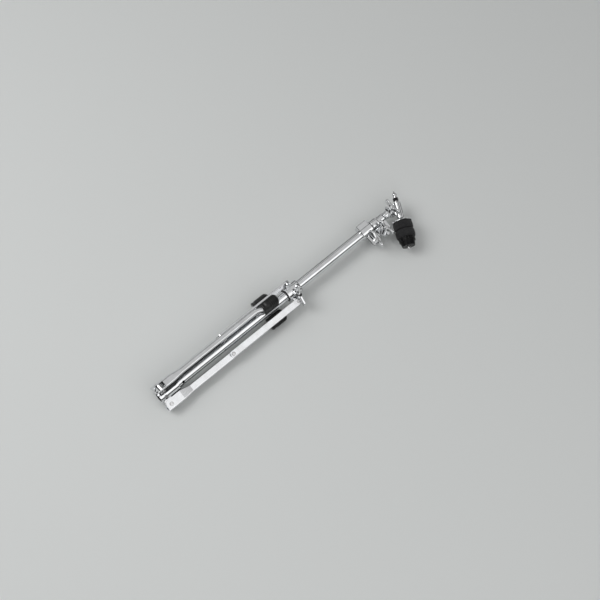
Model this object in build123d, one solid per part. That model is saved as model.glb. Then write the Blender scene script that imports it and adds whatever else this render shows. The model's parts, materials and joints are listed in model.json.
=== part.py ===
from build123d import *
from math import asin, cos, degrees, radians, sin, sqrt
import os

# A folding cymbal boom stand with a flat three-leg base. It is modelled folded and lying
# down: the tubes run along +X from the foot end to the cymbal end, and +Z is up.
# Every length is in millimetres. Until the last step the tube axis is the X axis.

# ---------------------------------------------------------------- driving sizes
base_tube_radius = 11.1
base_tube_wall = 1.2
base_tube_length = 552.0
mast_radius = 9.4
mast_wall = 1.2
mast_length = 520.0
mast_stand_out = 16.0           # mast end above the clamp at its lowest
boom_radius = 5.5
boom_length = 430.0
boom_end_gap = 1.0              # boom end to the tilter's disc

leg_length = 300.0            # pivot to foot tip
leg_wall = 1.5
leg_half_width = 6.0
leg_depth = 15.0
leg_set_out = 2.0               # channel's middle outside the pivot's circle
ear_half_width = 8.8
ear_depth = 22.0
ear_length = 28.0             # from the pivot to the start of the taper
taper_length = 24.0
leg_back_rounding = 3.5

pivot_height = 12.0           # leg pivot above the bottom end of the tube
pivot_radius = 25.0           # leg pivot from the tube axis
strut_hinge_distance = 162.0  # along the leg, pivot to strut hinge
collar_beyond_foot = 38.0      # collar pivot beyond the foot tips, folded
strut_width = 14.0
strut_thickness = 4.5
strut_wall = 1.5

pin_radius = 3.0
head_radius = 4.2
head_height = 1.4
running_gap = 0.05            # radial gap of a pin or a sliding tube in its hole
side_gap = 0.3                # gap between faces that move past each other

bracket_wall = 2.9
bracket_length = 46.0
lug_rounding = 8.5
foot_length = 38.0
foot_clearance = 1.4            # between a folded foot and the base tube
foot_depth = 28.0
foot_width = 22.0
foot_side_shift = 5.4         # the foot stands off to the side away from the strut
foot_rounding = 6.5
foot_ribs = 5
foot_rib_pitch = 4.2
foot_groove_width = 1.7
foot_groove_depth = 1.2

collar_length = 32.0
collar_lead = 12.0              # collar's lower end before its pivots
collar_boss_shift = 6.0         # screw boss beyond the pivots
collar_boss_radius = 7.0
collar_boss_height = 6.0
collar_wall = 3.0
bush_wall = 1.9
bush_lip = 1.4
collar_lug_thickness = 3.6
collar_lug_rounding = 6.0

clamp_length = 28.0
clamp_radius = 14.5
clamp_overlap = 6.0           # how far the clamp reaches down over the base tube
clamp_slit = 2.6
ear_plate = 4.0               # thickness of each clamp ear
clamp_bolt_offset = 30.0      # clamp bolt from the tube axis
clamp_ear_margin = 6.5          # ear beyond the bolt
clamp_pad_reach = 18.5          # flat-topped pad on the side away from the ears
clamp_pad_low = -8.0
clamp_pad_high = 12.5

wing_span = 42.0
collar_wing_span = 54.0
wing_thickness = 5.0
wing_lobe_radius = 6.0
wing_lobe_rise = 5.0            # lobe centre above the wing's root
hub_radius = 6.0
hub_height = 9.0
bolt_radius = 3.0
bolt_head_radius = 5.5
bolt_head_height = 4.0

boom_pivot_offset = 26.0      # boom tilter bolt from the boom's axis
boom_disc_radius = 11.0
boom_disc_thickness = 6.0
boom_sleeve_radius = 9.8
boom_sleeve_length = 17.0
tilter_base_gap = 2.0           # clamp to boom tilter base
tilter_base_cap = 2.0           # base beyond the mast's end
boom_spacer_height = 12.0      # lifts the boom wing nut over the clamp wing nut
boom_bolt_top = 28.0

tilter_disc_radius = 13.0
tilter_distance = 24.0          # boom sleeve to the cymbal tilter's bolt
tilter_disc_thickness = 7.5
tilter_pad_height = 8.4       # raises the wing nut clear of the cymbal rod's boss
tilter_angle = 243.0          # direction of the cymbal rod, from +X towards +Y
cymbal_rod_radius = 4.0
cymbal_rod_offset = 14.2      # cymbal rod from the tilter bolt
boss_radius = 9.0
boss_back = 12.0                # how far the boss reaches behind its centre
flare_length = 6.0
locknut_start = -22.5
locknut_length = 6.6
locknut_radius = 6.0
end_cap_radius = 5.0
end_cap_offset = 4.0            # end cap centre behind the rod end
seat_distance = 31.0          # washer face from the tilter's boss centre
cymbal_rod_back = 26.0       # where the rod ends behind the boss centre
rod_sleeve_wall = 1.6
washer_radius = 22.0
washer_thickness = 2.0
felt_radius = 21.0
felt_thickness = 17.0
cymbal_gap = 1.2
nut_length = 19.0
nut_radius = 17.5
nut_skirt = 0.45                # share of the nut's length that is fluted
nut_nose_radius = 14.0
nut_flutes = 12
flute_radius = 2.0
rod_tip_length = 6.0            # how far the rod stands out of the nut
rod_lead_radius = 3.6           # plain lead at the rod's free end
rod_lead_length = 5.0

leg_angles = {"a": 202.0, "b": 82.0, "c": -38.0}
free_angle = 142.0            # the side between legs a and b carries the screws
head_roll = 8.0               # the cymbal end leans this far over about the tube

# ---------------------------------------------------------------- sizes that follow
strut_hinge_x = pivot_height + strut_hinge_distance
strut_length = leg_length + collar_beyond_foot - strut_hinge_distance
collar_pivot_x = strut_hinge_x + strut_length
leg_low = pivot_radius - leg_depth / 2 + leg_set_out
leg_high = leg_low + leg_depth
ear_low = pivot_radius - ear_depth / 2
ear_high = pivot_radius + ear_depth / 2
strut_side = leg_half_width + side_gap
strut_outside = strut_side + strut_thickness
foot_tip_x = pivot_height + leg_length
foot_start_x = foot_tip_x - foot_length
foot_low = base_tube_radius + foot_clearance
collar_start = collar_pivot_x - collar_lead
collar_end = collar_start + collar_length
collar_boss_x = collar_pivot_x + collar_boss_shift
collar_radius = base_tube_radius + bush_wall + collar_wall
clamp_start = base_tube_length - clamp_overlap
clamp_end = clamp_start + clamp_length
mast_end = clamp_end + mast_stand_out
mast_start = mast_end - mast_length
tilter_base_start = clamp_end + tilter_base_gap
tilter_base_end = mast_end + tilter_base_cap
boom_pivot_x = tilter_base_end
boom_sleeve_start = tilter_base_end + side_gap
boom_sleeve_end = boom_sleeve_start + boom_sleeve_length
tilter_x = boom_sleeve_end + tilter_distance
boom_end = tilter_x - tilter_disc_radius - boom_end_gap
boom_start = boom_end - boom_length
MIN_ALIGN = (Align.CENTER, Align.CENTER, Align.MIN)


# ---------------------------------------------------------------- shape helpers
def rod(radius, start, end):
    """A cylinder from one point to another."""
    run = Vector(*end) - Vector(*start)
    return Plane(origin=start, z_dir=run) * Cylinder(radius, run.length, align=MIN_ALIGN)


def rod_x(radius, x0, x1):
    return rod(radius, (x0, 0, 0), (x1, 0, 0))


def pipe_x(inner, outer, x0, x1):
    return rod_x(outer, x0, x1) - rod_x(inner, x0 - 1, x1 + 1)


def block(x0, x1, y0, y1, z0, z1):
    """A box given by its limits along each axis."""
    middle = ((x0 + x1) / 2, (y0 + y1) / 2, (z0 + z1) / 2)
    return Pos(*middle) * Box(x1 - x0, y1 - y0, z1 - z0)


def rounded_section(x, half, low, high, shift, top_rounding, low_rounding=0.0):
    """One closed outline across the leg, at a station along it."""
    plane = Plane(origin=(x, shift, (low + high) / 2), x_dir=(0, 1, 0), z_dir=(1, 0, 0))
    face = Rectangle(2 * half, high - low)
    face = fillet(face.vertices().group_by(Axis.Y)[-1], top_rounding)
    if low_rounding:
        face = fillet(face.vertices().group_by(Axis.Y)[0], low_rounding)
    return plane * face


def turned(shape, angle):
    """Turn a piece modelled with its radial direction on +Z to an angle about the tube."""
    return Rot(angle - 90, 0, 0) * shape


def rivet(x, z, y0, y1, head_low, head_high):
    """A pin along Y with a domed-edge head on the ends that show."""
    body = rod(pin_radius, (x, y0, z), (x, y1, z))
    if head_low:
        head = rod(head_radius, (x, y0 - head_height, z), (x, y0, z))
        body += chamfer(head.faces().sort_by(Axis.Y)[0].edges(), head_height * 0.4)
    if head_high:
        head = rod(head_radius, (x, y1, z), (x, y1 + head_height, z))
        body += chamfer(head.faces().sort_by(Axis.Y)[-1].edges(), head_height * 0.4)
    return body


# ---------------------------------------------------------------- tubes
def make_base_tube():
    tube = pipe_x(base_tube_radius - base_tube_wall, base_tube_radius, 0, base_tube_length)
    drain_x = bracket_length + 12.0
    drain = rod(3.0, (drain_x, 0, 0), (drain_x, 0, base_tube_radius + 2))
    return tube - turned(drain, free_angle)


def make_mast():
    return pipe_x(mast_radius - mast_wall, mast_radius, mast_start, mast_end)


def make_boom():
    body = rod_x(boom_radius, boom_start, boom_end)
    return chamfer(body.edges().filter_by(GeomType.CIRCLE), 0.8)


def make_mast_guide():
    """Nylon ring fixed to the mast's low end, which keeps it straight in the base tube."""
    bore = base_tube_radius - base_tube_wall
    return pipe_x(mast_radius, bore - running_gap, mast_start - 4, mast_start + 8) \
        - rod_x(mast_radius, mast_start, mast_start + 10)


def make_boom_guide():
    """Nylon ring on the boom's hidden end."""
    bore = mast_radius - mast_wall
    return pipe_x(boom_radius - 1.0, bore - running_gap, boom_start - 3, boom_start + 6) \
        - rod_x(boom_radius, boom_start, boom_start + 8)


# ---------------------------------------------------------------- base bracket
def make_bracket():
    """Sleeve round the foot of the tube, with one lug for each leg."""
    outer = base_tube_radius + bracket_wall
    sleeve = rod_x(outer, 0.5, bracket_length)
    lug_half = ear_half_width - leg_wall - side_gap
    lug_back = outer - bracket_wall / 2
    for angle in leg_angles.values():
        lug = block(pivot_height - lug_rounding, pivot_height + lug_rounding,
                    -lug_half, lug_half, lug_back - 4, pivot_radius)
        lug += rod(lug_rounding, (pivot_height, -lug_half, pivot_radius),
                   (pivot_height, lug_half, pivot_radius))
        lug -= rod(pin_radius, (pivot_height, -lug_half - 1, pivot_radius),
                   (pivot_height, lug_half + 1, pivot_radius))
        sleeve += turned(lug, angle)
    sleeve -= rod_x(base_tube_radius, -1, bracket_length + 1)
    screw_hole = rod(bolt_radius, (pivot_height, 0, 0), (pivot_height, 0, outer + 1))
    return sleeve - turned(screw_hole, free_angle)


def make_bracket_screw():
    """Screw that holds the bracket on the tube, in the side between legs a and b."""
    outer = base_tube_radius + bracket_wall
    shank = rod(bolt_radius, (pivot_height, 0, base_tube_radius), (pivot_height, 0, outer))
    head = rod(head_radius, (pivot_height, 0, outer), (pivot_height, 0, outer + 2.0))
    head = chamfer(head.faces().sort_by(Axis.Z)[-1].edges(), 0.6)
    slot = block(pivot_height - head_radius, pivot_height + head_radius, -0.5, 0.5,
                 outer + 1.2, outer + 3)
    return turned(shank + head - slot, free_angle)


def make_leg_pin(angle):
    half = ear_half_width + side_gap / 2
    return turned(rivet(pivot_height, pivot_radius, -half, half, True, True), angle)


# ---------------------------------------------------------------- legs
def leg_stations():
    """Stations along the leg: x, half width, low edge, high edge and sideways shift."""
    ear_end = pivot_height + ear_length
    taper_end = ear_end + taper_length
    crank = foot_start_x - 14.0
    return [
        (pivot_height - ear_depth / 2, ear_half_width, ear_low, ear_high, 0.0),
        (ear_end, ear_half_width, ear_low, ear_high, 0.0),
        (taper_end, leg_half_width, leg_low, leg_high, 0.0),
        (crank, leg_half_width, leg_low, leg_high, 0.0),
        (foot_start_x - 1.0, leg_half_width - 1.0, leg_low + 1, leg_high - 1, -foot_side_shift),
        (foot_tip_x - 10.0, leg_half_width - 1.0, leg_low + 1, leg_high - 1, -foot_side_shift),
    ]


def leg_loft(inset, extra_low, extra_end):
    """The leg's outside, or its hollow when inset by the wall."""
    stations = leg_stations()
    faces = []
    for index, (x, half, low, high, shift) in enumerate(stations):
        if index == 0:
            x -= extra_end
        if index == len(stations) - 1:
            x += extra_end
        rounding = leg_back_rounding - inset
        faces.append(rounded_section(x, half - inset, low - extra_low, high - inset,
                                     shift, rounding))
    return loft(faces, ruled=True)


def make_leg(angle):
    leg = leg_loft(0, 0, 0) - leg_loft(leg_wall, 3.0, 1.0)
    half = ear_half_width + 1
    web_end = pivot_height + ear_depth / 2 - 1.0
    leg -= block(pivot_height - ear_depth, web_end, -ear_half_width + leg_wall,
                 ear_half_width - leg_wall, pivot_radius, ear_high + 1)
    corner = block(pivot_height - ear_depth, pivot_height, -half, half,
                   ear_low - 4, pivot_radius)
    corner -= rod(ear_depth / 2, (pivot_height, -half - 1, pivot_radius),
                  (pivot_height, half + 1, pivot_radius))
    leg -= corner
    leg -= rod(pin_radius + running_gap, (pivot_height, -half, pivot_radius),
               (pivot_height, half, pivot_radius))
    leg -= rod(pin_radius, (strut_hinge_x, -half, pivot_radius),
               (strut_hinge_x, half, pivot_radius))
    return turned(leg, angle)


def make_strut_pin(angle):
    """Rivet fixed in the leg; the strut turns on its long end."""
    low = -leg_half_width - side_gap / 2
    high = strut_outside + side_gap / 2
    return turned(rivet(strut_hinge_x, pivot_radius, low, high, True, True), angle)


def make_foot(angle):
    """Rubber boot pushed over the cranked end of the leg, ribbed round its tip."""
    half = foot_width / 2
    high = foot_low + foot_depth
    shift = -foot_side_shift
    stations = [
        (foot_start_x, half - 2.0, foot_low + 3.0, high - 5.0),
        (foot_start_x + foot_length * 0.35, half, foot_low, high),
        (foot_tip_x - foot_length * 0.2, half, foot_low, high),
        (foot_tip_x, half - 3.5, foot_low + 4.0, high - 4.5),
    ]
    rounding = foot_rounding
    boot = loft([rounded_section(x, h, lo, hi, shift, rounding, rounding)
                 for x, h, lo, hi in stations], ruled=True)
    for rib in range(foot_ribs):
        x = foot_tip_x - 3.0 - rib * foot_rib_pitch
        cut = block(x - foot_groove_width, x, shift - half - 3, shift + half + 3,
                    foot_low - 3, high + 3)
        share = min(1.0, (foot_tip_x - x) / (foot_length * 0.2))
        trim = foot_groove_depth + (1.0 - share) * 3.5
        core = rounded_section(x - foot_groove_width - 1, half - trim, foot_low + trim,
                               high - trim, shift, rounding, rounding)
        boot -= cut - extrude(core, foot_groove_width + 2)
    leg_end = loft([rounded_section(x, half_w, low, high_w, side, leg_back_rounding)
                    for x, half_w, low, high_w, side in leg_stations()[-2:]], ruled=True)
    return turned(boot - leg_end, angle)


# ---------------------------------------------------------------- struts
def make_strut(angle):
    """Channel strap on the side of the leg, round at both ends."""
    half = strut_width / 2
    outline = SlotCenterToCenter(strut_length, strut_width)
    middle = (strut_hinge_x + strut_length / 2, strut_outside, pivot_radius)
    plane = Plane(origin=middle, x_dir=(1, 0, 0), z_dir=(0, -1, 0))
    strap = plane * extrude(outline, strut_thickness)
    strap = fillet(strap.faces().sort_by(Axis.Y)[-1].edges(), 1.0)
    hollow = block(strut_hinge_x + half, collar_pivot_x - half, strut_side - 1,
                   strut_outside - strut_wall, pivot_radius - half + strut_wall,
                   pivot_radius + half - strut_wall)
    strap -= hollow
    for x, radius in ((strut_hinge_x, pin_radius + running_gap), (collar_pivot_x, pin_radius)):
        strap -= rod(radius, (x, strut_side - 1, pivot_radius), (x, strut_outside + 1, pivot_radius))
    return turned(strap, angle)


def make_collar_pin(angle):
    """Rivet in the strut's upper end. It stops short of the collar's lug: the fold is a
    closed linkage, and this pivot is the one that is left open."""
    return turned(rivet(collar_pivot_x, pivot_radius, strut_side, strut_outside, False, True), angle)


# ---------------------------------------------------------------- sliding collar
def make_collar():
    body = rod_x(collar_radius, collar_start, collar_end)
    body = chamfer(body.edges().filter_by(GeomType.CIRCLE), 0.8)
    lug_high = strut_side - side_gap
    lug_low = lug_high - collar_lug_thickness
    for angle in leg_angles.values():
        lug = block(collar_pivot_x - collar_lug_rounding, collar_pivot_x + collar_lug_rounding,
                    lug_low, lug_high, collar_radius - collar_wall, pivot_radius)
        lug += rod(collar_lug_rounding, (collar_pivot_x, lug_low, pivot_radius),
                   (collar_pivot_x, lug_high, pivot_radius))
        body += turned(lug, angle)
    boss_x = collar_boss_x
    boss_top = collar_radius + collar_boss_height
    body += turned(rod(collar_boss_radius, (boss_x, 0, collar_radius - 2), (boss_x, 0, boss_top)),
                   free_angle)
    body -= rod_x(base_tube_radius + bush_wall, collar_start - 1, collar_end + 1)
    hole = rod(bolt_radius + running_gap, (boss_x, 0, 0), (boss_x, 0, collar_radius + 10))
    return body - turned(hole, free_angle)


def make_collar_bush():
    """Nylon lining of the collar, with a lip that shows at each end."""
    inner = base_tube_radius + running_gap
    outer = base_tube_radius + bush_wall
    bush = pipe_x(inner, outer, collar_start - bush_lip, collar_end + bush_lip)
    for x0 in (collar_start - bush_lip, collar_end):
        bush += pipe_x(inner, outer + 1.0, x0, x0 + bush_lip)
    boss_x = collar_boss_x
    hole = rod(bolt_radius + running_gap, (boss_x, 0, 0), (boss_x, 0, outer + 3))
    return bush - turned(hole, free_angle)


# ---------------------------------------------------------------- wing nuts
def wing_head(height, span):
    """Hub with two upswept wings. Its axis is +Z, its base is at zero and its wings lie on X."""
    hub = Cone(hub_radius, hub_radius * 0.72, height, align=MIN_ALIGN)
    hub = fillet(hub.faces().sort_by(Axis.Z)[-1].edges(), 1.2)
    plane = Plane(origin=(0, wing_thickness / 2, 0), x_dir=(1, 0, 0), z_dir=(0, -1, 0))
    reach = span / 2 - wing_lobe_radius
    for side in (-1, 1):
        root = Pos(side * hub_radius * 0.45, height * 0.45) * Circle(height * 0.38)
        lobe = Pos(side * reach, height * 0.45 + wing_lobe_rise) * Circle(wing_lobe_radius)
        outline = make_hull(root.edges() + lobe.edges())
        wing = plane * extrude(outline, wing_thickness)
        wing = fillet(wing.faces().filter_by(Axis.Y).edges(), 1.2)
        hub += wing
    return hub


def make_collar_wing_bolt():
    """Wing bolt that presses on the base tube and holds the legs open or folded."""
    boss_x = collar_boss_x
    tip = base_tube_radius + side_gap
    seat = collar_radius + collar_boss_height + side_gap
    bolt = rod(bolt_radius, (boss_x, 0, tip), (boss_x, 0, seat + 5))
    bolt += Pos(boss_x, 0, seat) * rod(hub_radius + 1.2, (0, 0, 0), (0, 0, 1.6))
    head = Pos(boss_x, 0, seat + 1.6) * Rot(0, 0, 82) * wing_head(hub_height, collar_wing_span)
    return turned(bolt + head, free_angle)


# ---------------------------------------------------------------- tube clamp
def bolt_head(x, y, under):
    """Hexagon head hanging below a bolt's shoulder."""
    return Pos(x, y, under - bolt_head_height) * extrude(RegularPolygon(bolt_head_radius, 6),
                                                         bolt_head_height)


def rolled(shape):
    """Lean a piece of the cymbal end over about the tube axis."""
    return Rot(head_roll, 0, 0) * shape


def make_tube_clamp():
    """Split clamp on top of the base tube, with two ears and a bolt hole through them."""
    bolt_x = clamp_bolt_x()
    body = rod_x(clamp_radius, clamp_start, clamp_end)
    body = chamfer(body.edges().filter_by(GeomType.CIRCLE), 1.0)
    pad = block(clamp_start + 1.0, clamp_end - 2.0, 0, clamp_pad_reach,
                clamp_pad_low, clamp_pad_high)
    pad = fillet(pad.edges().filter_by(Axis.X).group_by(Axis.Y)[-1], 3.0)
    body += chamfer(pad.faces().sort_by(Axis.Z)[-1].edges(), 0.8)
    ear_start = clamp_end - 21.0
    reach = clamp_bolt_offset + clamp_ear_margin
    ears = block(ear_start, clamp_end - 1.5, -reach, 0, -clamp_slit / 2 - ear_plate,
                 clamp_slit / 2 + ear_plate)
    ears = fillet(ears.edges().filter_by(Axis.Z).group_by(Axis.Y)[0], 5.0)
    body += ears
    body -= rod_x(base_tube_radius, clamp_start - 1, clamp_end + 1)
    body -= block(ear_start - 3, clamp_end + 1, -reach - 1, 0, -clamp_slit / 2, clamp_slit / 2)
    body -= rod(bolt_radius + running_gap, (bolt_x, -clamp_bolt_offset, -20),
                (bolt_x, -clamp_bolt_offset, 20))
    return rolled(body)


def make_clamp_bush():
    """Nylon bush squeezed by the clamp: it holds the mast, and its lip shows below it."""
    upper = pipe_x(mast_radius + running_gap, base_tube_radius, base_tube_length, clamp_end + 1.5)
    lip = pipe_x(base_tube_radius, clamp_radius - 2.2, clamp_start - 2.0, clamp_start)
    return upper, lip


def clamp_bolt_x():
    return clamp_start + clamp_length * 0.62


def make_clamp_bolt():
    """Bolt through the clamp ears, with a square-shouldered head below."""
    x = clamp_bolt_x()
    under = -clamp_slit / 2 - ear_plate
    bolt = rod(bolt_radius, (x, -clamp_bolt_offset, under), (x, -clamp_bolt_offset, 14.5))
    head = bolt_head(x, -clamp_bolt_offset, under)
    return rolled(bolt + head)


def make_clamp_wing():
    x = clamp_bolt_x()
    seat = clamp_slit / 2 + ear_plate + side_gap
    bore = rod(bolt_radius + running_gap, (0, 0, -1), (0, 0, hub_height + 2))
    nut = Rot(0, 0, 84) * wing_head(hub_height, wing_span) - bore
    return rolled(Pos(x, -clamp_bolt_offset, seat) * nut)


# ---------------------------------------------------------------- boom tilter
def make_tilter_base():
    """Cap on the mast's top end, with a side disc that the boom sleeve turns on."""
    body = rod_x(mast_radius + 3.2, tilter_base_start, tilter_base_end)
    body = chamfer(body.edges().filter_by(GeomType.CIRCLE), 1.0)
    disc = rod(boom_disc_radius, (boom_pivot_x, -boom_pivot_offset, -boom_disc_thickness),
               (boom_pivot_x, -boom_pivot_offset, -side_gap / 2))
    web = block(tilter_base_start, tilter_base_end, -boom_pivot_offset, 0,
                -boom_disc_thickness, -side_gap / 2)
    body += disc + web
    body -= rod_x(mast_radius, tilter_base_start - 1, mast_end)
    body -= rod_x(boom_radius + 1.0, tilter_base_start - 1, tilter_base_end + 1)
    body -= boom_bolt_hole()
    return rolled(body)


def boom_bolt_hole():
    return rod(bolt_radius + running_gap, (boom_pivot_x, -boom_pivot_offset, -20),
               (boom_pivot_x, -boom_pivot_offset, boom_bolt_top + 10))


def make_boom_sleeve():
    """Sleeve that grips the boom, on the disc that meets the tilter base's disc."""
    body = rod_x(boom_sleeve_radius, boom_sleeve_start, boom_sleeve_end)
    body = chamfer(body.edges().filter_by(GeomType.CIRCLE), 1.0)
    disc = rod(boom_disc_radius, (boom_pivot_x, -boom_pivot_offset, side_gap / 2),
               (boom_pivot_x, -boom_pivot_offset, boom_disc_thickness))
    web = block(boom_sleeve_start, boom_sleeve_end - 2, -boom_pivot_offset, 0,
                side_gap / 2, boom_disc_thickness)
    body += disc + web
    body -= rod_x(boom_radius + bush_wall, boom_sleeve_start - 1, boom_sleeve_end + 1)
    body -= boom_bolt_hole()
    return rolled(body)


def make_boom_bush():
    bush = pipe_x(boom_radius + running_gap, boom_radius + bush_wall,
                  boom_sleeve_start, boom_sleeve_end + 1.5)
    return bush


def make_boom_bolt():
    x, y = boom_pivot_x, -boom_pivot_offset
    bolt = rod(bolt_radius, (x, y, -boom_disc_thickness), (x, y, boom_bolt_top))
    head = bolt_head(x, y, -boom_disc_thickness)
    return rolled(bolt + head)


def make_boom_spacer():
    """Collar under the boom wing nut, which lifts its wings over those of the clamp."""
    x, y = boom_pivot_x, -boom_pivot_offset
    ring = rod(hub_radius, (x, y, boom_disc_thickness), 
               (x, y, boom_disc_thickness + boom_spacer_height))
    return rolled(ring - boom_bolt_hole())


def make_boom_wing():
    x, y = boom_pivot_x, -boom_pivot_offset
    bore = rod(bolt_radius + running_gap, (0, 0, -1), (0, 0, hub_height + 2))
    nut = Rot(0, 0, 96) * wing_head(hub_height, wing_span) - bore
    return rolled(Pos(x, y, boom_disc_thickness + boom_spacer_height + side_gap) * nut)


# ---------------------------------------------------------------- cymbal tilter
def tilter_bolt_hole(gap):
    return rod(bolt_radius + gap, (tilter_x, 0, -30), (tilter_x, 0, 40))


def make_tilter_lower():
    """Socket on the boom's end with a toothed disc."""
    neck = rod_x(boom_radius + 3.0, boom_sleeve_end + 4.0, boom_end + 1.0)
    disc = rod(tilter_disc_radius, (tilter_x, 0, -tilter_disc_thickness),
               (tilter_x, 0, -side_gap / 2))
    bridge = block(boom_end - 6, tilter_x, -boom_radius - 3, boom_radius + 3,
                   -tilter_disc_thickness, -side_gap / 2)
    disc_space = rod(tilter_disc_radius + side_gap, (tilter_x, 0, -side_gap / 2),
                     (tilter_x, 0, 20))
    body = neck + disc + bridge - disc_space
    body -= rod_x(boom_radius, boom_sleeve_end, boom_end)
    return rolled(body - tilter_bolt_hole(running_gap))


def rod_frame():
    """Plane on the cymbal rod's axis: its Z runs towards the nut end."""
    direction = (cos(radians(tilter_angle)), sin(radians(tilter_angle)), 0)
    side = (-sin(radians(tilter_angle)), cos(radians(tilter_angle)), 0)
    origin = (tilter_x + side[0] * cymbal_rod_offset, side[1] * cymbal_rod_offset,
              side_gap / 2 + boss_radius)
    return Plane(origin=origin, x_dir=side, z_dir=direction)


def on_rod(radius, start, end):
    """A cylinder on the cymbal rod's axis."""
    return rod_frame() * Pos(0, 0, start) * Cylinder(radius, end - start, align=MIN_ALIGN)


def make_tilter_upper():
    """Toothed disc with the boss that carries the cymbal rod."""
    disc = rod(tilter_disc_radius, (tilter_x, 0, side_gap / 2),
               (tilter_x, 0, tilter_disc_thickness))
    boss = on_rod(boss_radius, -boss_back, seat_distance - flare_length)
    boss = fillet(boss.edges().filter_by(GeomType.CIRCLE), 1.6)
    flare = rod_frame() * Pos(0, 0, seat_distance - flare_length - 2.0) \
        * Cone(boss_radius - 1.6, washer_radius * 0.6, flare_length + 2.0, align=MIN_ALIGN)
    pad = rod(hub_radius, (tilter_x, 0, tilter_disc_thickness - 1),
              (tilter_x, 0, tilter_disc_thickness + tilter_pad_height))
    body = disc + boss + flare + pad
    body -= on_rod(cymbal_rod_radius, -boss_back - 1, seat_distance + 1)
    return rolled(body - tilter_bolt_hole(running_gap))


def make_tilter_bolt():
    under = -tilter_disc_thickness
    bolt = rod(bolt_radius, (tilter_x, 0, under), (tilter_x, 0, tilter_disc_thickness + tilter_pad_height + 8))
    head = bolt_head(tilter_x, 0, under)
    return rolled(bolt + head)


def make_tilter_wing():
    bore = rod(bolt_radius + running_gap, (0, 0, -1), (0, 0, hub_height + 2))
    nut = Rot(0, 0, 95) * wing_head(hub_height, wing_span) - bore
    return rolled(Pos(tilter_x, 0, tilter_disc_thickness + tilter_pad_height + side_gap) * nut)


# ---------------------------------------------------------------- cymbal rod and its stack
washer_end = seat_distance + washer_thickness
lower_felt_end = washer_end + felt_thickness
upper_felt_end = lower_felt_end + cymbal_gap + felt_thickness
nut_end = upper_felt_end + nut_length
sleeve_radius = cymbal_rod_radius + rod_sleeve_wall


def make_cymbal_rod():
    tip = nut_end + rod_tip_length
    body = on_rod(cymbal_rod_radius, -cymbal_rod_back, tip - rod_lead_length)
    lead = on_rod(rod_lead_radius, tip - rod_lead_length - 1, tip)
    body += chamfer(lead.edges().filter_by(GeomType.CIRCLE), 0.6)
    return rolled(body)


def make_rod_locknut():
    """Black hexagon nut that locks the rod at the back of the tilter."""
    hexagon = rod_frame() * Pos(0, 0, locknut_start) \
        * extrude(RegularPolygon(locknut_radius, 6), locknut_length)
    return rolled(hexagon - on_rod(cymbal_rod_radius, locknut_start - 1, 0))


def make_rod_ball():
    """Rounded chrome end cap screwed on the back of the rod."""
    start = -cymbal_rod_back
    ball = rod_frame() * Pos(0, 0, start - end_cap_offset) * Sphere(end_cap_radius)
    tip = rod_frame() * Pos(0, 0, start - 12.0) * Cone(1.2, 2.2, 6.0, align=MIN_ALIGN)
    return rolled(ball + tip - on_rod(cymbal_rod_radius, start, start + 20))


def make_seat_washer():
    """Dished chrome washer that the lower felt sits in."""
    plate = on_rod(washer_radius, seat_distance, washer_end)
    plate = chamfer(plate.edges().filter_by(GeomType.CIRCLE), 0.7)
    return rolled(plate - on_rod(sleeve_radius, seat_distance - 1, washer_end + 1))


def make_rod_sleeve():
    """Nylon sleeve on the rod, which keeps metal off the cymbal's hole."""
    outer = on_rod(sleeve_radius, seat_distance, upper_felt_end)
    return rolled(outer - on_rod(cymbal_rod_radius, seat_distance - 1, upper_felt_end + 1))


def make_felt(start):
    felt = on_rod(felt_radius, start, start + felt_thickness)
    felt = fillet(felt.edges().filter_by(GeomType.CIRCLE), 2.5)
    return rolled(felt - on_rod(sleeve_radius, start - 1, start + felt_thickness + 1))


def make_cymbal_nut():
    """Stepped plastic nut with grip flutes."""
    start = upper_felt_end + side_gap
    step = start + nut_length * nut_skirt
    body = on_rod(nut_radius, start, step)
    body += rod_frame() * Pos(0, 0, step) \
        * Cone(nut_radius - 1.5, nut_nose_radius, nut_end - step, align=MIN_ALIGN)
    for index in range(nut_flutes):
        flute = Rot(0, 0, index * 360 / nut_flutes) * Pos(nut_radius + 0.9, 0, start - 1) \
            * Cylinder(flute_radius, nut_length * nut_skirt + 2, align=MIN_ALIGN)
        body -= rod_frame() * flute
    return rolled(body - on_rod(cymbal_rod_radius + running_gap, start - 1, nut_end + 5))


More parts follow.
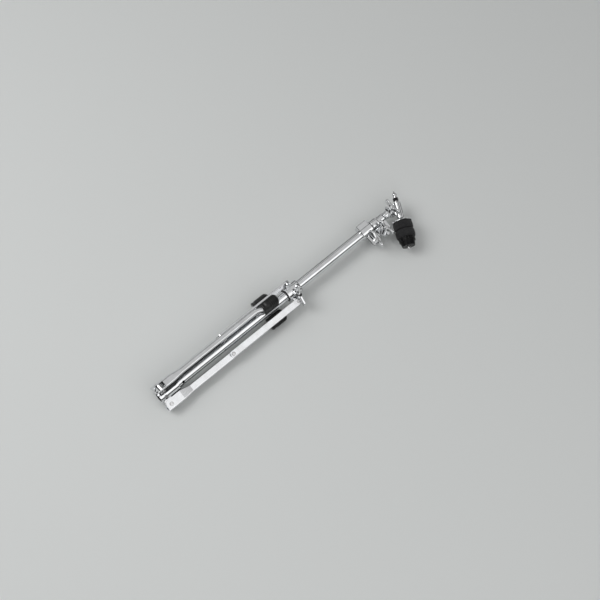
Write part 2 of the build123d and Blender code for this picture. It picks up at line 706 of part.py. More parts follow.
# ---------------------------------------------------------------- assembly
def make_parts():
    clamp_bush, clamp_lip = make_clamp_bush()
    parts = {
        "base_tube": make_base_tube(),
        "base_bracket": make_bracket(),
        "bracket_screw": make_bracket_screw(),
        "sliding_collar": make_collar(),
        "collar_bush": make_collar_bush(),
        "collar_wing_bolt": make_collar_wing_bolt(),
        "tube_clamp": make_tube_clamp(),
        "clamp_bush": clamp_bush,
        "clamp_ring": clamp_lip,
        "clamp_bolt": make_clamp_bolt(),
        "clamp_wing_nut": make_clamp_wing(),
        "mast_tube": make_mast(),
        "mast_guide": make_mast_guide(),
        "boom_tilter_base": make_tilter_base(),
        "boom_sleeve": make_boom_sleeve(),
        "boom_bush": make_boom_bush(),
        "boom_bolt": make_boom_bolt(),
        "boom_spacer": make_boom_spacer(),
        "boom_wing_nut": make_boom_wing(),
        "boom_rod": make_boom(),
        "boom_guide": make_boom_guide(),
        "tilter_lower": make_tilter_lower(),
        "tilter_upper": make_tilter_upper(),
        "tilter_bolt": make_tilter_bolt(),
        "tilter_wing_nut": make_tilter_wing(),
        "cymbal_rod": make_cymbal_rod(),
        "rod_locknut": make_rod_locknut(),
        "rod_end_cap": make_rod_ball(),
        "seat_washer": make_seat_washer(),
        "rod_sleeve": make_rod_sleeve(),
        "lower_felt": make_felt(washer_end),
        "upper_felt": make_felt(lower_felt_end + cymbal_gap),
        "cymbal_nut": make_cymbal_nut(),
    }
    for name, angle in leg_angles.items():
        parts[f"leg_{name}"] = make_leg(angle)
        parts[f"foot_{name}"] = make_foot(angle)
        parts[f"leg_pin_{name}"] = make_leg_pin(angle)
        parts[f"strut_{name}"] = make_strut(angle)
        parts[f"strut_pin_{name}"] = make_strut_pin(angle)
        parts[f"collar_pin_{name}"] = make_collar_pin(angle)
    return parts


def lowest_middle(parts):
    """The middle of the whole object's box, on its lowest level."""
    box = Compound(list(parts.values())).bounding_box()
    return Vector((box.min.X + box.max.X) / 2, (box.min.Y + box.max.Y) / 2, box.min.Z)


parts = make_parts()
shift = lowest_middle(parts) * -1
os.makedirs("parts", exist_ok=True)
for name, shape in parts.items():
    export_step(Pos(shift.X, shift.Y, shift.Z) * shape, f"parts/{name}.step")
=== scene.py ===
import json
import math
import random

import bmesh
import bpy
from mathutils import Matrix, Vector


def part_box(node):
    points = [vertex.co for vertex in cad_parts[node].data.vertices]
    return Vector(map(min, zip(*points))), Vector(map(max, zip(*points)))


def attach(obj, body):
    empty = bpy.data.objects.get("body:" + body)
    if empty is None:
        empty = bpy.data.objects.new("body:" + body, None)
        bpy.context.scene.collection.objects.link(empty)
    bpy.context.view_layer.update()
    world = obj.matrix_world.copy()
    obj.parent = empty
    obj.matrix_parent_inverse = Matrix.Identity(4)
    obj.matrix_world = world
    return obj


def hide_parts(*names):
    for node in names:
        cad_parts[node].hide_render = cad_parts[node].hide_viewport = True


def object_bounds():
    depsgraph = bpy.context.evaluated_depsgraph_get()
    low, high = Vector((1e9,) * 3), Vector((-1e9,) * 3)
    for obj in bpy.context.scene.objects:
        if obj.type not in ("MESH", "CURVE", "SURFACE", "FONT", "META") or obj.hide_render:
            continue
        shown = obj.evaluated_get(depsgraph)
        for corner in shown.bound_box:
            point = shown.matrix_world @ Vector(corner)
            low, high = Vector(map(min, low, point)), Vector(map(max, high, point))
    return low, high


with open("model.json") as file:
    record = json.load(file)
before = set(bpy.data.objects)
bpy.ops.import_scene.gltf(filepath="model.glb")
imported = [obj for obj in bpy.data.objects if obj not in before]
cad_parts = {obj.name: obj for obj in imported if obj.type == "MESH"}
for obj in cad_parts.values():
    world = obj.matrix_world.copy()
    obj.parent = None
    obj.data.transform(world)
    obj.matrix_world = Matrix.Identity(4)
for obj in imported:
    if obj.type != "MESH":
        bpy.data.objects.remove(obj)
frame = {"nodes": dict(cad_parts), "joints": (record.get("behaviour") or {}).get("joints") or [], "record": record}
cad_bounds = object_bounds()

# %% [markdown]
# # A folded cymbal boom stand
# The stand is nearly all chrome: tubes, pressed legs and small castings. Chrome has no
# look of its own, so most of the work is in its tiny marks, its edges and in what there
# is to reflect. The black parts are rubber boots, nylon bushes, a plastic nut and felts.
# The shapes come from the design model. This file gives them their surfaces, moulds finer
# boots and felts in place of the plain ones, and adds the rows of teeth on the tilters.

MM = 0.001
nodes = frame["nodes"]
joints = {joint["name"]: joint for joint in frame["joints"]}
print("design nodes:", len(nodes), "joints:", len(joints))

# %% [markdown]
# ## Where things are
# A joint in the frame says where its axis lies, so the leg pivots, the tilter and the
# cymbal rod can be found from the frame and need no numbers typed in here. The tube's own
# axis is the middle of the base tube's box.

# %% Read the main places from the frame
def box_middle(name):
    """The middle of a design node's box."""
    low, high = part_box(name)
    return (low + high) / 2


tube_low, tube_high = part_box("base_tube")
tube_axis = box_middle("base_tube")
tube_radius = (tube_high.y - tube_low.y) / 2
rod_direction = Vector(joints["cymbal_nut_lift"]["axis"]).normalized()
tilter_up = Vector(joints["cymbal_tilt"]["axis"]).normalized()
print("tube radius in mm:", round(tube_radius / MM, 2))


# %% [markdown]
# ## Camera
# The stand is seen from above and a little to its side, from about three metres, through a
# long lens, so that its two ends keep nearly the same size. The camera aims at a point
# beside the middle of the base tube. Its turn comes from a quaternion that points the
# camera's Z straight back from that point and keeps its Y up.

# %% Make the camera
CAMERA_DISTANCE = 3.0
CAMERA_AZIMUTH = math.radians(-41.34)
CAMERA_HEIGHT = math.radians(66.86)
AIM_SHIFT = Vector((77.3, -26.8, 0.0)) * MM
LENS = 87.36
SENSOR_WIDTH = 36.0
FARTHEST_SEEN = 50.0
aim = tube_axis + AIM_SHIFT
back = Vector((
    math.sin(CAMERA_AZIMUTH) * math.cos(CAMERA_HEIGHT),
    -math.cos(CAMERA_AZIMUTH) * math.cos(CAMERA_HEIGHT),
    math.sin(CAMERA_HEIGHT),
))
camera = bpy.data.objects.new("camera", bpy.data.cameras.new("camera"))
camera.data.lens = LENS
camera.data.sensor_width = SENSOR_WIDTH
camera.data.clip_end = FARTHEST_SEEN
camera.location = aim + back * CAMERA_DISTANCE
camera.rotation_euler = back.to_track_quat("Z", "Y").to_euler()
bpy.context.scene.collection.objects.link(camera)
bpy.context.scene.camera = camera
print("camera at", [round(value, 3) for value in camera.location])

# %% [markdown]
# ## Floor and light
# Product pictures are often taken on a seamless sheet of pale grey paper. The floor is one
# large plane at the level of the lowest part. Chrome needs large soft lights with darker
# gaps between them: the gaps draw the thin dark lines that make it read as metal. Two
# softboxes side by side over the front light the flat legs and the tube, and a soft key
# lamp from the far side gives the short shadows. The sky is one grey with dark flags in it,
# so that the small castings, which look in every direction, get their black streaks.

# %% Helpers for materials and shader nodes
def new_material(name):
    """A new material, its node tree and its Principled shader, with nothing linked yet."""
    material = bpy.data.materials.new(name)
    material.use_nodes = True
    return material, material.node_tree, material.node_tree.nodes["Principled BSDF"]


def add_node(tree, kind, **settings):
    """A new node, with its sockets or its own settings given by name."""
    node = tree.nodes.new(kind)
    for key, value in settings.items():
        if key in node.inputs:
            node.inputs[key].default_value = value
        else:
            setattr(node, key, value)
    return node


def feed(tree, socket, value):
    """Set a socket to a number, or link it to another node's output."""
    if isinstance(value, (int, float)):
        socket.default_value = value
    else:
        tree.links.new(value, socket)


def maths(tree, operation, first, second):
    """The result of one sum on two numbers or outputs."""
    node = add_node(tree, "ShaderNodeMath", operation=operation)
    feed(tree, node.inputs[0], first)
    feed(tree, node.inputs[1], second)
    return node.outputs[0]


def mapped(tree, value, low, high, new_low=0.0, new_high=1.0, blend="LINEAR"):
    """Stretch a value from one range to another, clamped."""
    node = add_node(tree, "ShaderNodeMapRange", interpolation_type=blend)
    node.inputs["From Min"].default_value = low
    node.inputs["From Max"].default_value = high
    node.inputs["To Min"].default_value = new_low
    node.inputs["To Max"].default_value = new_high
    tree.links.new(value, node.inputs["Value"])
    return node.outputs["Result"]


print("helpers ready")

# %% Lay the floor
FLOOR_SIZE = 60.0
PAPER_GREY = (0.75, 0.768, 0.76, 1)
PAPER_ROUGHNESS = 0.75
half = FLOOR_SIZE / 2
floor_mesh = bpy.data.meshes.new("floor")
floor_mesh.from_pydata(
    [(-half, -half, 0), (half, -half, 0), (half, half, 0), (-half, half, 0)], [], [(0, 1, 2, 3)])
floor = bpy.data.objects.new("floor", floor_mesh)
floor.location.z = cad_bounds[0].z
bpy.context.scene.collection.objects.link(floor)
paper, _, shader = new_material("floor_paper")
shader.inputs["Base Color"].default_value = PAPER_GREY
shader.inputs["Roughness"].default_value = PAPER_ROUGHNESS
floor_mesh.materials.append(paper)
print("floor at", round(floor.location.z, 4))

# %% Hang the lamps
SOFTBOX_DISTANCE = 2.2
KEY_DISTANCE = 3.0
FRONT = Vector((-0.10, -0.66, 0.74))
KEY = Vector((-0.40, 0.46, 0.79))


def area_lamp(name, place, size, power, shift=(0.0, 0.0)):
    """A rectangular soft lamp that faces the origin, then slides in its own plane."""
    data = bpy.data.lights.new(name, "AREA")
    data.shape = "RECTANGLE"
    data.size, data.size_y = size
    data.energy = power
    lamp = bpy.data.objects.new(name, data)
    lamp.rotation_euler = place.to_track_quat("Z", "Y").to_euler()
    lamp.location = place + lamp.rotation_euler.to_matrix() @ Vector((*shift, 0.0))
    bpy.context.scene.collection.objects.link(lamp)


softbox_place = FRONT * SOFTBOX_DISTANCE
area_lamp("front_upper_softbox", softbox_place, size=(2.2, 0.6), power=1.8, shift=(-0.30, 0.91))
area_lamp("front_lower_softbox", softbox_place, size=(3.0, 1.4), power=9.5, shift=(0.10, -0.10))
area_lamp("key_lamp", KEY * KEY_DISTANCE, size=(1.7, 1.7), power=34.0)

# %% [markdown]
# ## Sky with flags
# The sky reads the direction of each ray. Its level starts as one grey. It loses most of
# that towards the horizon and in one flag high on the far side. Three more flags cross it
# from side to side, each a band in X where the level is cut to a small share.

# %% Make the sky
SKY_LEVEL = 0.58
HIGH_FLAG = (0.62, 0.73)
HIGH_FLAG_SIDE = (0.12, 0.28)
HIGH_FLAG_DEPTH = 0.88
HORIZON = (0.22, 0.42)
HORIZON_DEPTH = 0.93
CROSS_FLAGS = ((0.44, 0.66), (-0.42, -0.14), (-0.95, -0.66))
CROSS_FLAG_DEPTH = 0.92
FLAG_BLUR = 0.02


def step_up(tree, value, low, high):
    """0 below low, 1 above high, smooth between."""
    return mapped(tree, value, low, high, blend="SMOOTHSTEP")


def band(tree, value, low, high):
    """1 between low and high, 0 outside, with blurred edges."""
    risen = step_up(tree, value, low - FLAG_BLUR, low + FLAG_BLUR)
    fallen = step_up(tree, value, high - FLAG_BLUR, high + FLAG_BLUR)
    return maths(tree, "MULTIPLY", risen, maths(tree, "SUBTRACT", 1.0, fallen))


def darken(tree, level, mask, depth):
    """The level, less a share of itself where the mask is 1."""
    kept = maths(tree, "SUBTRACT", 1.0, maths(tree, "MULTIPLY", mask, depth))
    return maths(tree, "MULTIPLY", level, kept)


world = bpy.data.worlds.new("studio")
bpy.context.scene.world = world
world.use_nodes = True
sky = world.node_tree
direction = add_node(sky, "ShaderNodeSeparateXYZ")
sky.links.new(add_node(sky, "ShaderNodeTexCoord").outputs["Generated"], direction.inputs[0])
across, sideways, upward = direction.outputs
high_flag = maths(sky, "MULTIPLY", band(sky, upward, *HIGH_FLAG), step_up(sky, sideways, *HIGH_FLAG_SIDE))
horizon = maths(sky, "SUBTRACT", 1.0, step_up(sky, upward, *HORIZON))
level = maths(sky, "SUBTRACT", SKY_LEVEL, maths(sky, "MULTIPLY", high_flag, SKY_LEVEL * HIGH_FLAG_DEPTH))
level = maths(sky, "SUBTRACT", level, maths(sky, "MULTIPLY", horizon, SKY_LEVEL * HORIZON_DEPTH))
for low, high in CROSS_FLAGS:
    level = darken(sky, level, band(sky, across, low, high), CROSS_FLAG_DEPTH)
background = sky.nodes["Background"]
background.inputs["Color"].default_value = (1.0, 1.0, 1.0, 1)
sky.links.new(level, background.inputs["Strength"])
bpy.context.scene.view_settings.view_transform = "Standard"
print("sky level", SKY_LEVEL, "with", len(CROSS_FLAGS) + 1, "flags")

# %% [markdown]
# ## Shared effects as node groups
# Four effects come back in many materials: hairline scratches, handling smudges, the grain
# of moulded plastic and rubber, and the fibres of felt. Each is built once as a shader node
# group with named inputs and outputs. A group gives only masks and heights. The shader
# itself stays in the material, where its plain settings can be read.

# %% A helper that starts a node group
def start_group(name, inputs, outputs):
    """A shader node group with float inputs (name, default) and float outputs."""
    group = bpy.data.node_groups.new(name, "ShaderNodeTree")
    for label, default in inputs:
        socket = group.interface.new_socket(label, in_out="INPUT", socket_type="NodeSocketFloat")
        socket.default_value = default
    for label in outputs:
        group.interface.new_socket(label, in_out="OUTPUT", socket_type="NodeSocketFloat")
    entry = group.nodes.new("NodeGroupInput")
    leave = group.nodes.new("NodeGroupOutput")
    return group, entry, leave


def noise(tree, vector, scale, detail, roughness=0.55):
    """A cloudy value between 0 and 1."""
    node = add_node(tree, "ShaderNodeTexNoise", Detail=detail, Roughness=roughness)
    tree.links.new(vector, node.inputs["Vector"])
    feed(tree, node.inputs["Scale"], scale)
    return node.outputs["Fac"]


# %% Hairline scratches: noise drawn out along X, in two directions
SCRATCH_LAYERS = ((0.15, 0.03), (1.2, 0.06))


def build_scratches():
    """Each layer has the angle it is turned by, and the share X is squeezed to."""
    group, entry, leave = start_group(
        "hairline_scratches", [("Scale", 900.0), ("Depth", 1.0)], ["Height", "Mask"])
    place = add_node(group, "ShaderNodeTexCoord").outputs["Object"]
    layers = []
    for angle, squeeze in SCRATCH_LAYERS:
        turn = add_node(group, "ShaderNodeMapping")
        turn.inputs["Rotation"].default_value = (angle * 0.6, angle, angle)
        turn.inputs["Scale"].default_value = (squeeze, 1.0, 1.0)
        group.links.new(place, turn.inputs["Vector"])
        lines = noise(group, turn.outputs[0], entry.outputs["Scale"], detail=2.0)
        layers.append(mapped(group, lines, 0.62, 0.72))
    mask = maths(group, "MAXIMUM", *layers)
    patches = mapped(group, noise(group, place, 30.0, detail=2.0), 0.45, 0.65)
    mask = maths(group, "MULTIPLY", mask, patches)
    group.links.new(mask, leave.inputs["Mask"])
    height = maths(group, "MULTIPLY", mask, entry.outputs["Depth"])
    group.links.new(height, leave.inputs["Height"])
    return group


scratches = build_scratches()
print("group:", scratches.name)

# %% Handling smudges: broad cloudy patches with finer prints inside them
def build_smudges():
    group, entry, leave = start_group("handling_smudges", [("Scale", 45.0)], ["Mask"])
    place = add_node(group, "ShaderNodeTexCoord").outputs["Object"]
    clouds = noise(group, place, entry.outputs["Scale"], detail=5.0, roughness=0.6)
    broad = mapped(group, clouds, 0.42, 0.7)
    fine_scale = maths(group, "MULTIPLY", entry.outputs["Scale"], 9.0)
    prints = noise(group, place, fine_scale, detail=3.0, roughness=0.7)
    fine = mapped(group, prints, 0.3, 0.75, 0.5, 1.0)
    group.links.new(maths(group, "MULTIPLY", broad, fine), leave.inputs["Mask"])
    return group


smudges = build_smudges()
print("group:", smudges.name)

# %% Moulded grain: fine pits and a soft orange-peel
def build_grain():
    group, entry, leave = start_group("moulded_grain", [("Scale", 1400.0)], ["Height", "Dust"])
    place = add_node(group, "ShaderNodeTexCoord").outputs["Object"]
    cells = add_node(group, "ShaderNodeTexVoronoi", feature="SMOOTH_F1")
    group.links.new(place, cells.inputs["Vector"])
    group.links.new(entry.outputs["Scale"], cells.inputs["Scale"])
    soft = maths(group, "MULTIPLY", noise(group, place, 260.0, detail=3.0), 0.6)
    height = maths(group, "ADD", cells.outputs["Distance"], soft)
    group.links.new(height, leave.inputs["Height"])
    specks = noise(group, place, 70.0, detail=6.0, roughness=0.7)
    group.links.new(mapped(group, specks, 0.5, 0.75), leave.inputs["Dust"])
    return group


grain = build_grain()
print("group:", grain.name)

# %% Felt fibres: short threads that cross in every direction
FIBRE_ANGLES = (0.3, 1.35, 2.4)
FIBRE_SQUEEZE = 0.16


def build_fibres():
    group, entry, leave = start_group("felt_fibres", [("Scale", 700.0)], ["Height", "Shade"])
    place = add_node(group, "ShaderNodeTexCoord").outputs["Object"]
    total = None
    for angle in FIBRE_ANGLES:
        turn = add_node(group, "ShaderNodeMapping")
        turn.inputs["Rotation"].default_value = (angle, angle * 1.7, angle * 0.8)
        turn.inputs["Scale"].default_value = (FIBRE_SQUEEZE, 1.0, 1.0)
        group.links.new(place, turn.inputs["Vector"])
        threads = noise(group, turn.outputs[0], entry.outputs["Scale"], detail=3.0, roughness=0.65)
        total = threads if total is None else maths(group, "MAXIMUM", total, threads)
    group.links.new(mapped(group, total, 0.45, 0.75), leave.inputs["Height"])
    clouds = noise(group, place, 130.0, detail=5.0, roughness=0.6)
    shade = maths(group, "MULTIPLY", mapped(group, total, 0.45, 0.8), clouds)
    group.links.new(mapped(group, shade, 0.05, 0.5), leave.inputs["Shade"])
    return group


fibres = build_fibres()
print("group:", fibres.name)

# %% [markdown]
# ## Chrome
# Real chrome plate is a near mirror with a faint blue cast. What makes it believable is
# that the mirror isn't perfect: smudges blur it in patches, hairlines catch the light, a
# casting ripples it more than a drawn tube does, and pressed sheet is slightly wavy. One
# function makes the three chromes with different values, since they differ only in these.

# %% Make the chromes
def use_group(tree, group, **values):
    """A node that runs a shared group, with its inputs given by name."""
    node = add_node(tree, "ShaderNodeGroup", node_tree=group)
    for key, value in values.items():
        node.inputs[key].default_value = value
    return node


def mix_colors(tree, mask, first, second):
    """A colour that goes from first to second as the mask rises."""
    node = add_node(tree, "ShaderNodeMix", data_type="RGBA")
    tree.links.new(mask, node.inputs["Factor"])
    node.inputs[6].default_value = (*first, 1)
    node.inputs[7].default_value = (*second, 1)
    return node.outputs[2]


def bump(tree, shader, height, strength, distance):
    """Tilt the shader's normal by a height, which is scaled to a distance in metres."""
    node = add_node(tree, "ShaderNodeBump")
    node.inputs["Strength"].default_value = strength
    node.inputs["Distance"].default_value = distance
    tree.links.new(height, node.inputs["Height"])
    tree.links.new(node.outputs["Normal"], shader.inputs["Normal"])


CHROME_DULL = (0.70, 0.705, 0.71)
HAIRLINE_DEPTH = 0.05
CHROMES = {
    "tube_chrome": dict(clean=(0.83, 0.84, 0.855), low=0.045, high=0.15, wave_scale=14.0, wave=0.10),
    "pressed_chrome": dict(clean=(0.83, 0.84, 0.855), low=0.06, high=0.16, wave_scale=30.0, wave=0.10),
    "cast_chrome": dict(clean=(0.80, 0.81, 0.82), low=0.05, high=0.16, wave_scale=120.0, wave=0.30),
}


def make_chrome(name, clean, low, high, wave_scale, wave):
    """Plated metal: its clean colour, its lowest and highest roughness, and its ripple."""
    material, tree, shader = new_material(name)
    shader.inputs["Metallic"].default_value = 1.0
    smudge = use_group(tree, smudges, Scale=38.0).outputs["Mask"]
    hair = use_group(tree, scratches, Scale=1000.0, Depth=1.0)
    tree.links.new(mix_colors(tree, smudge, clean, CHROME_DULL), shader.inputs["Base Color"])
    hair_share = maths(tree, "MULTIPLY", hair.outputs["Mask"], 0.6)
    marks = maths(tree, "ADD", smudge, hair_share)
    tree.links.new(mapped(tree, marks, 0.0, 1.3, low, high), shader.inputs["Roughness"])
    place = add_node(tree, "ShaderNodeTexCoord").outputs["Object"]
    ripple = maths(tree, "MULTIPLY", noise(tree, place, wave_scale, detail=2.0), wave)
    lines = maths(tree, "MULTIPLY", hair.outputs["Height"], -HAIRLINE_DEPTH)
    bump(tree, shader, maths(tree, "ADD", ripple, lines), 1.0, 0.0002)
    return material


materials = {name: make_chrome(name, **look) for name, look in CHROMES.items()}
print("chromes:", list(materials))

# %% [markdown]
# ## Plated steel for rivets, bolts and rods
# Rivet heads and bolts are turned and lightly brushed, so they are greyer and less sharp
# than the chrome round them. Grime sits in small patches.

# %% Make the steel
STEEL_CLEAN = (0.70, 0.70, 0.71)
STEEL_GRIME = (0.36, 0.35, 0.34)


def make_steel():
    material, tree, shader = new_material("plated_steel")
    shader.inputs["Metallic"].default_value = 1.0
    grime = use_group(tree, smudges, Scale=220.0).outputs["Mask"]
    hair = use_group(tree, scratches, Scale=2600.0, Depth=1.0)
    tree.links.new(mix_colors(tree, grime, STEEL_CLEAN, STEEL_GRIME), shader.inputs["Base Color"])
    tree.links.new(mapped(tree, grime, 0.0, 1.0, 0.16, 0.38), shader.inputs["Roughness"])
    bump(tree, shader, hair.outputs["Height"], 0.3, 0.0001)
    return material


materials["steel_fasteners"] = make_steel()
print("made", materials["steel_fasteners"].name)

# %% [markdown]
# ## Rubber, nylon and plastic
# All three are nearly black, with a fine grain and slightly paler dust in places. The boots
# are the dullest. The nylon bushes are smoother, and the nut is the smoothest but reflects
# least, so that its dome stays black under the softboxes.

# %% Make the black materials
GRAIN_DEPTH = 0.0001
MOULDINGS = {
    "foot_rubber": dict(color=(0.006, 0.006, 0.0065), dusty=(0.018, 0.018, 0.018),
                        low=0.36, high=0.55, scale=1300.0, strength=0.2, shine=0.5),
    "black_nylon": dict(color=(0.012, 0.012, 0.013), dusty=(0.028, 0.028, 0.028),
                        low=0.32, high=0.5, scale=1900.0, strength=0.2, shine=0.3),
    "nut_plastic": dict(color=(0.005, 0.005, 0.0055), dusty=(0.015, 0.015, 0.015),
                        low=0.26, high=0.42, scale=1600.0, strength=0.25, shine=0.16),
}


def make_moulding(name, color, dusty, low, high, scale, strength, shine):
    """A black moulding: clean and dusty colours, lowest and highest roughness, and grain."""
    material, tree, shader = new_material(name)
    surface = use_group(tree, grain, Scale=scale)
    dust = surface.outputs["Dust"]
    tree.links.new(mix_colors(tree, dust, color, dusty), shader.inputs["Base Color"])
    tree.links.new(mapped(tree, dust, 0.0, 1.0, low, high), shader.inputs["Roughness"])
    bump(tree, shader, surface.outputs["Height"], strength, GRAIN_DEPTH)
    shader.inputs["Specular IOR Level"].default_value = shine
    return material


for name, look in MOULDINGS.items():
    materials[name] = make_moulding(name, **look)
print("made", list(MOULDINGS))

# %% [markdown]
# ## Felt
# Pressed wool felt is a mat of fibres. It scatters light softly, with a faint sheen where
# it is seen edge on, and its near-black grey is flecked with lighter fibres.

# %% Make the felt
FELT_DARK = (0.008, 0.008, 0.009)
FELT_FLECK = (0.042, 0.042, 0.044)


def make_felt_material():
    material, tree, shader = new_material("wool_felt")
    threads = use_group(tree, fibres, Scale=750.0)
    color = mix_colors(tree, threads.outputs["Shade"], FELT_DARK, FELT_FLECK)
    tree.links.new(color, shader.inputs["Base Color"])
    shader.inputs["Roughness"].default_value = 0.95
    shader.inputs["Sheen Weight"].default_value = 0.08
    shader.inputs["Sheen Roughness"].default_value = 0.6
    bump(tree, shader, threads.outputs["Height"], 0.8, 0.0005)
    return material


materials["felt"] = make_felt_material()
print("made", materials["felt"].name)

# %% [markdown]
# ## Dress the design nodes
# The record names a material slot for each node, so one loop gives every carried-over part
# its finish. Sharp modelled edges look drawn, not made, so a small bevel modifier rounds
# them: chrome edges then catch a thin line of light. It changes the look only.

# %% Give each node its finish and soft edges
BEVEL_MM = {"tube_chrome": 0.25, "pressed_chrome": 0.3, "cast_chrome": 0.35, "steel_fasteners": 0.2,
            "foot_rubber": 0.4, "black_nylon": 0.25, "nut_plastic": 0.35, "felt": 0.4}
BEVEL_ANGLE = math.radians(38)
BEVEL_SEGMENTS = 2
slots = {row["node"]: row["material_slot"] for row in frame["record"]["subparts"]}
for name, node in nodes.items():
    finish = slots[name]
    node.data.materials.clear()
    node.data.materials.append(materials[finish])
    for polygon in node.data.polygons:
        polygon.use_smooth = True
    bevel = node.modifiers.new("soft_edges", "BEVEL")
    bevel.width = BEVEL_MM[finish] * MM
    bevel.segments = BEVEL_SEGMENTS
    bevel.limit_method = "ANGLE"
    bevel.angle_limit = BEVEL_ANGLE
    bevel.harden_normals = True
print("dressed", len(nodes), "nodes")

# %% [markdown]
# ## Pieces in their own axes
# The boots lie along the legs and the felts along the cymbal rod, so both are measured in
# their own directions: how far the design node reaches along each of them. The new meshes
# are then built inside those limits.

# %% Measure a node along any direction
def reach(name, origin, direction):
    """Lowest and highest distance of a node's corners from origin along a direction."""
    node = nodes[name]
    places = [(node.matrix_world @ vertex.co - origin).dot(direction)
              for vertex in node.data.vertices]
    return min(places), max(places)


def mesh_object(name, points, faces, finish, body):
    """A smooth-shaded mesh that rides a body and has one of the finishes."""
    mesh = bpy.data.meshes.new(name)
    mesh.from_pydata([tuple(point) for point in points], [], faces)
    mesh.validate()
    mesh.shade_smooth()
    mesh.materials.append(materials[finish])
    piece = bpy.data.objects.new(name, mesh)
    bpy.context.scene.collection.objects.link(piece)
    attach(piece, body)
    return piece


def skin(rings, closed_ends=True):
    """Points and faces of a tube through a list of equal rings of points."""
    count = len(rings[0])
    points = [point for ring in rings for point in ring]
    faces = []
    for row in range(len(rings) - 1):
        for column in range(count):
            after = (column + 1) % count
            faces.append((row * count + column, row * count + after,
                          (row + 1) * count + after, (row + 1) * count + column))
    if closed_ends:
        faces.append(tuple(range(count - 1, -1, -1)))
        faces.append(tuple((len(rings) - 1) * count + column for column in range(count)))
    return points, faces


print("the rod leans", round(math.degrees(math.asin(rod_direction.z)), 1), "degrees")

# %% [markdown]
# ## Rubber boots
# Each boot is a soft rounded box pushed over the end of a leg. Its mouth has a rounded lip
# with a shallow waist behind it, its middle is plain, and the half towards its tip has
# round-bottomed grooves that leave ribs. The section is a superellipse, whose power of 3
# gives nearly flat sides with generous corners. Lengths along the boot are shares of it.

# %% Mould the boots
BOOT_RINGS = 150
BOOT_POINTS = 72
BOOT_POWER = 3.0
BOOT_CLEARANCE = 0.05 * MM
LIP_END = 0.05
LIP_ROUNDING = 0.9 * MM
WAIST_MIDDLE = 0.16
WAIST_HALF_LENGTH = 0.12
WAIST_DEPTH = 0.9 * MM
RIB_COUNT = 5
RIBS_START = 0.42
RIBS_END = 0.97
GROOVE_DEPTH = 1.5 * MM
GROOVE_POWER = 1.5
TIP_START = 0.80
TIP_ROUNDING = 6.0 * MM
TIP_FULLNESS = 0.82


def boot_shrink(share):
    """How far the skin lies inside the boot's full size, at a share of its length."""
    shrink = 0.0
    if share < LIP_END:
        shrink += LIP_ROUNDING * (1.0 - math.sin(share / LIP_END * math.pi / 2))
    waist = max(0.0, 1.0 - abs(share - WAIST_MIDDLE) / WAIST_HALF_LENGTH)
    shrink += WAIST_DEPTH * waist * waist * (3 - 2 * waist)
    if share > RIBS_START:
        turn = (share - RIBS_START) / (RIBS_END - RIBS_START) * RIB_COUNT
        shrink += GROOVE_DEPTH * max(0.0, math.cos(turn * 2 * math.pi)) ** GROOVE_POWER
    if share > TIP_START:
        round_off = (share - TIP_START) / (1.0 - TIP_START)
        fall = 1.0 - math.sqrt(max(0.0, 1.0 - TIP_FULLNESS * round_off ** 2))
        shrink += TIP_ROUNDING * fall
    return shrink


def make_boot(leg):
    """The boot of one leg, in the place of its design foot."""
    joint = joints[f"leg_{leg}_fold"]
    along = Vector((1.0, 0.0, 0.0))
    side = -Vector(joint["axis"]).normalized()
    outward = along.cross(side)
    foot = f"foot_{leg}"
    x_low, x_high = reach(foot, tube_axis, along)
    y_low, y_high = reach(foot, tube_axis, side)
    z_low, z_high = reach(foot, tube_axis, outward)
    middle = tube_axis + side * (y_low + y_high) / 2 + outward * (z_low + z_high) / 2
    rings = []
    for row in range(BOOT_RINGS + 1):
        share = row / BOOT_RINGS
        shrink = boot_shrink(share) + BOOT_CLEARANCE
        half_width = (y_high - y_low) / 2 - shrink
        half_depth = (z_high - z_low) / 2 - shrink
        centre = middle + along * (x_low + (x_high - x_low) * share)
        ring = []
        for column in range(BOOT_POINTS):
            angle = 2 * math.pi * column / BOOT_POINTS
            wide, deep = math.cos(angle), math.sin(angle)
            size = (abs(wide) ** BOOT_POWER + abs(deep) ** BOOT_POWER) ** (-1 / BOOT_POWER)
            ring.append(centre + side * (wide * size * half_width)
                        + outward * (deep * size * half_depth))
        rings.append(ring)
    points, faces = skin(rings)
    boot = mesh_object(f"boot_{leg}", points, faces, "foot_rubber", f"leg_{leg}")
    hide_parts(foot)
    return boot


boots = [make_boot(leg) for leg in "abc"]
print("boots:", [boot.name for boot in boots])

# %% [markdown]
# ## Felts
# The two felts are turned on the rod's axis. Their sides bulge a little where the nut
# squeezes them and their rims are worn round. A slow wobble, from a seeded random start,
# keeps them from looking machined, and always pulls the skin inward.

# %% Press the felts
FELT_POINTS = 120
SLEEVE_RADIUS = 5.6 * MM
FELT_RIM = 3.0 * MM
RIM_STEPS = 6
RIM_STEP_TURN = math.radians(15)
SIDE_STEPS = 8
FELT_BULGE = 0.5 * MM
WOBBLE_WAVES = 4
WOBBLE_PULL = 0.12 * MM
WELD_DISTANCE = 0.01 * MM
shuffle = random.Random(11)


def felt_profile(inner, outer, low, high):
    """Radius and height pairs round a felt's section, starting at the bore's lower end."""
    side = outer - FELT_BULGE
    rim = []
    for step in range(1, RIM_STEPS + 1):
        turn = step * RIM_STEP_TURN
        rim.append((side - FELT_RIM * (1 - math.sin(turn)), FELT_RIM * (1 - math.cos(turn))))
    pairs = [(inner, low), (outer - FELT_RIM, low)]
    pairs += [(radius, low + rise) for radius, rise in rim]
    for step in range(1, SIDE_STEPS):
        share = step / SIDE_STEPS
        bulge = FELT_BULGE * math.sin(share * math.pi)
        pairs.append((side + bulge, low + FELT_RIM + (high - low - 2 * FELT_RIM) * share))
    pairs += [(radius, high - rise) for radius, rise in reversed(rim)]
    return pairs + [(outer - FELT_RIM, high), (inner, high)]


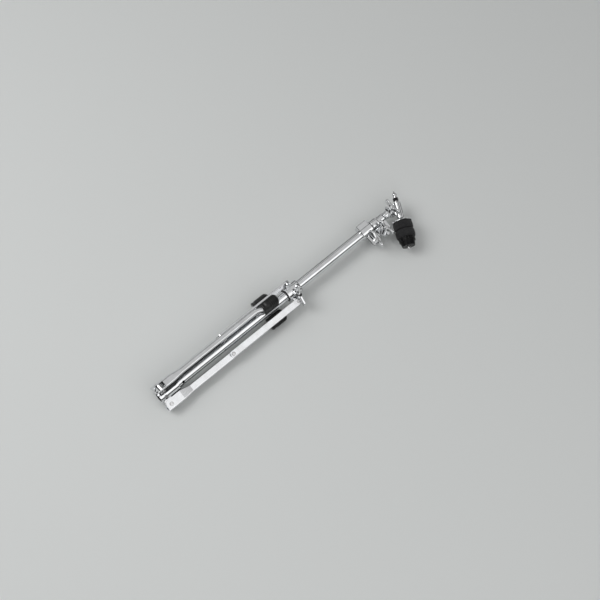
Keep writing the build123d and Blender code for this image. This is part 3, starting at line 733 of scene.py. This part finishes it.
def make_felt(node_name):
    """A felt turned on the rod's axis, in the place of its design node."""
    middle = box_middle(node_name)
    first = rod_direction.cross(Vector((0.0, 0.0, 1.0))).normalized()
    second = rod_direction.cross(first)
    low, high = reach(node_name, middle, rod_direction)
    outer = reach(node_name, middle, first)[1]
    starts = [shuffle.uniform(0, 2 * math.pi) for _ in range(WOBBLE_WAVES)]
    profile = felt_profile(SLEEVE_RADIUS, outer, low, high)
    rings = []
    for column in range(FELT_POINTS):
        angle = 2 * math.pi * column / FELT_POINTS
        wobble = sum(math.sin(angle * (index + 2) + start) for index, start in enumerate(starts))
        pull = WOBBLE_PULL * (wobble / WOBBLE_WAVES + 1)
        outward = first * math.cos(angle) + second * math.sin(angle)
        ring = []
        for radius, height in profile:
            share = (radius - SLEEVE_RADIUS) / (outer - SLEEVE_RADIUS)
            ring.append(middle + outward * (radius - pull * share)
                        + rod_direction * (height - math.copysign(pull, height) * share))
        rings.append(ring)
    points, faces = skin(rings + [rings[0]], closed_ends=False)
    felt = mesh_object(node_name + "_pad", points, faces, "felt", "cymbal_head")
    clean = bmesh.new()
    clean.from_mesh(felt.data)
    bmesh.ops.remove_doubles(clean, verts=clean.verts, dist=WELD_DISTANCE)
    bmesh.ops.recalc_face_normals(clean, faces=clean.faces)
    clean.to_mesh(felt.data)
    clean.free()
    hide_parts(node_name)
    return felt


felts = [make_felt("lower_felt"), make_felt("upper_felt")]
print("felts:", [felt.name for felt in felts])

# %% [markdown]
# ## Toothed rims
# The two discs of the cymbal tilter, and those of the boom tilter, meet on rings of
# teeth that hold the angle. Only the ends of the teeth show, as a row of small blocks
# round each rim, so each disc gets its own row, which moves with it.

# %% Cut the teeth
TOOTH_SHARE = 0.26
TOOTH_OUTLINE = ((-1.0, -0.6), (-0.6, 0.45), (0.6, 0.45), (1.0, -0.6))
TEETH_GAP = 0.2 * MM


def make_teeth(name, rim, low, high, body):
    """A ring of small wedges round a rim, from low to high along the tilters' axis."""
    first = tilter_up.orthogonal().normalized()
    second = tilter_up.cross(first)
    half_width = 2 * math.pi / rim["count"] * TOOTH_SHARE
    points, faces = [], []
    for index in range(rim["count"]):
        start = 2 * math.pi * index / rim["count"]
        base = len(points)
        for height in (low, high):
            for side, beyond in TOOTH_OUTLINE:
                angle = start + half_width * side
                spoke = first * math.cos(angle) + second * math.sin(angle)
                points.append(rim["centre"] + spoke * (rim["radius"] + beyond * MM) + tilter_up * height)
        for corner in range(4):
            after = (corner + 1) % 4
            faces.append((base + corner, base + after, base + 4 + after, base + 4 + corner))
        faces.append((base + 3, base + 2, base + 1, base))
        faces.append((base + 4, base + 5, base + 6, base + 7))
    return mesh_object(name, points, faces, "cast_chrome", body)


tilter_rim = {"centre": Vector(joints["cymbal_tilt"]["pos_m"]), "radius": 13.0 * MM, "count": 32}
tilter_reach = 2.2 * MM
boom_rim = {"centre": Vector(joints["boom_wing_turn"]["pos_m"]), "radius": 11.0 * MM, "count": 28}
boom_reach = 2.0 * MM
teeth = [
    make_teeth("tilter_teeth_lower", tilter_rim, -tilter_reach, -TEETH_GAP, "boom"),
    make_teeth("tilter_teeth_upper", tilter_rim, TEETH_GAP, tilter_reach, "cymbal_head"),
    make_teeth("boom_teeth_lower", boom_rim, -boom_reach, -TEETH_GAP, "mast"),
    make_teeth("boom_teeth_upper", boom_rim, TEETH_GAP, boom_reach, "mast"),
]
print("rims:", [piece.name for piece in teeth])
